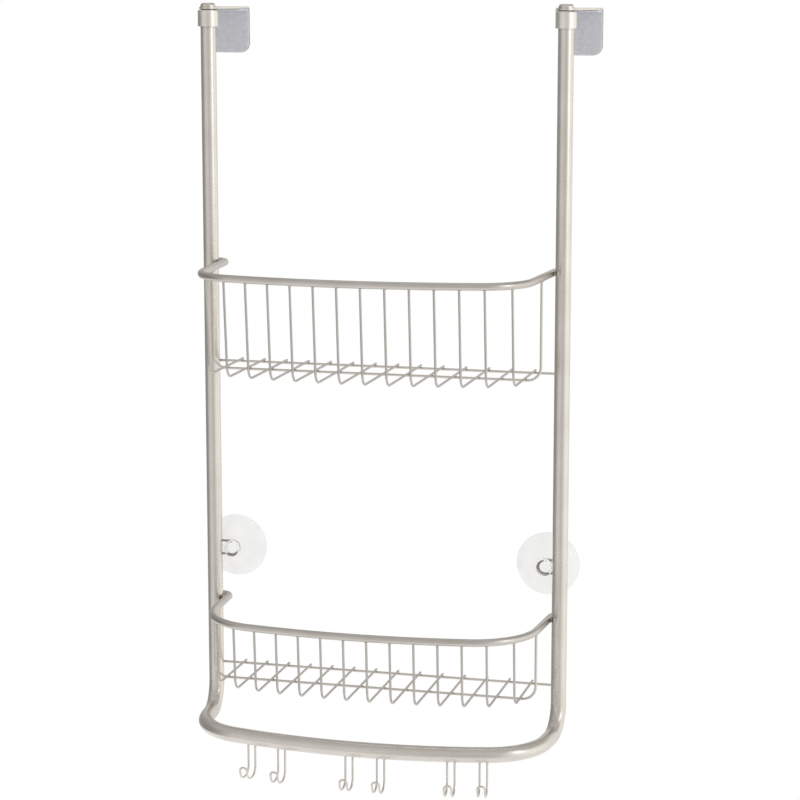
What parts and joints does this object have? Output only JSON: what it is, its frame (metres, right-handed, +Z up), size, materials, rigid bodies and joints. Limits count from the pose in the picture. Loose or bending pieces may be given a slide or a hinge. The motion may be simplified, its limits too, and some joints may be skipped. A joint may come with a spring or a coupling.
{
  "type": "shower caddy",
  "caption": "Tubular over-the-door shower caddy with wire baskets, a bowed towel bar with wire hooks, swivelling padded door brackets and clear suction cups.",
  "frame": {"origin": "middle of the width, in the plane of the two posts' axes, on the top edge of the door that the brackets' foam rests on", "axes": "+Z up along the posts, +X to the viewer's right when facing the caddy, +Y back towards the door, so the baskets project to -Y"},
  "size_m": [0.3336, 0.1538, 0.6274],
  "materials": {
    "satin_nickel": "satin nickel plate on steel tube and rod",
    "wire_nickel": "satin nickel plate on steel wire",
    "bracket_nickel": "satin nickel plate on sheet steel",
    "screw_nickel": "nickel plated screw",
    "gray_foam": "matt gray foam rubber",
    "black_washer": "matt black",
    "insert_nylon": "matt",
    "clear_cup": "clear soft vinyl"
  },
  "bodies": {
    "frame": {"left_bracket_screw": "screw_nickel", "left_cup_clip": "wire_nickel", "left_post_collar": "satin_nickel", "left_swivel_washer": "black_washer", "left_threaded_insert": "insert_nylon", "lower_basket_back_wire": "wire_nickel", "lower_basket_mid_wire": "wire_nickel", "lower_basket_rim": "satin_nickel", "lower_cross_wire_01": "wire_nickel", "lower_cross_wire_02": "wire_nickel", "lower_cross_wire_03": "wire_nickel", "lower_cross_wire_04": "wire_nickel", "lower_cross_wire_05": "wire_nickel", "lower_cross_wire_06": "wire_nickel", "lower_cross_wire_07": "wire_nickel", "lower_cross_wire_08": "wire_nickel", "lower_cross_wire_09": "wire_nickel", "lower_cross_wire_10": "wire_nickel", "lower_cross_wire_11": "wire_nickel", "lower_cross_wire_12": "wire_nickel", "lower_cross_wire_13": "wire_nickel", "lower_cross_wire_14": "wire_nickel", "main_frame": "satin_nickel", "right_bracket_screw": "screw_nickel", "right_cup_clip": "wire_nickel", "right_post_collar": "satin_nickel", "right_swivel_washer": "black_washer", "right_threaded_insert": "insert_nylon", "towel_bar_hook_1": "wire_nickel", "towel_bar_hook_2": "wire_nickel", "towel_bar_hook_3": "wire_nickel", "towel_bar_hook_4": "wire_nickel", "towel_bar_hook_5": "wire_nickel", "towel_bar_hook_6": "wire_nickel", "upper_basket_back_wire": "wire_nickel", "upper_basket_mid_wire": "wire_nickel", "upper_basket_rim": "satin_nickel", "upper_cross_wire_01": "wire_nickel", "upper_cross_wire_02": "wire_nickel", "upper_cross_wire_03": "wire_nickel", "upper_cross_wire_04": "wire_nickel", "upper_cross_wire_05": "wire_nickel", "upper_cross_wire_06": "wire_nickel", "upper_cross_wire_07": "wire_nickel", "upper_cross_wire_08": "wire_nickel", "upper_cross_wire_09": "wire_nickel", "upper_cross_wire_10": "wire_nickel", "upper_cross_wire_11": "wire_nickel", "upper_cross_wire_12": "wire_nickel", "upper_cross_wire_13": "wire_nickel", "upper_cross_wire_14": "wire_nickel"},
    "left_bracket": {"left_bracket_pad": "gray_foam", "left_hook_bracket": "bracket_nickel"},
    "right_bracket": {"right_bracket_pad": "gray_foam", "right_hook_bracket": "bracket_nickel"},
    "left_cup": {"left_suction_cup": "clear_cup"},
    "right_cup": {"right_suction_cup": "clear_cup"}
  },
  "joints": [
    {"name": "left_bracket_swivel", "type": "hinge", "parent": "frame", "child": "left_bracket", "pos_m": [-0.14905, 0, 0.0022], "axis": [0, 0, 1], "range_deg": [-90, 90]},
    {"name": "right_bracket_swivel", "type": "hinge", "parent": "frame", "child": "right_bracket", "pos_m": [0.14905, 0, 0.0022], "axis": [0, 0, 1], "range_deg": [-90, 90]},
    {"name": "left_cup_spin", "type": "hinge", "parent": "frame", "child": "left_cup", "pos_m": [-0.1355, 0.0074, -0.4518], "axis": [0, 1, 0], "continuous": true},
    {"name": "right_cup_spin", "type": "hinge", "parent": "frame", "child": "right_cup", "pos_m": [0.1355, 0.0074, -0.4518], "axis": [0, 1, 0], "continuous": true}
  ]
}
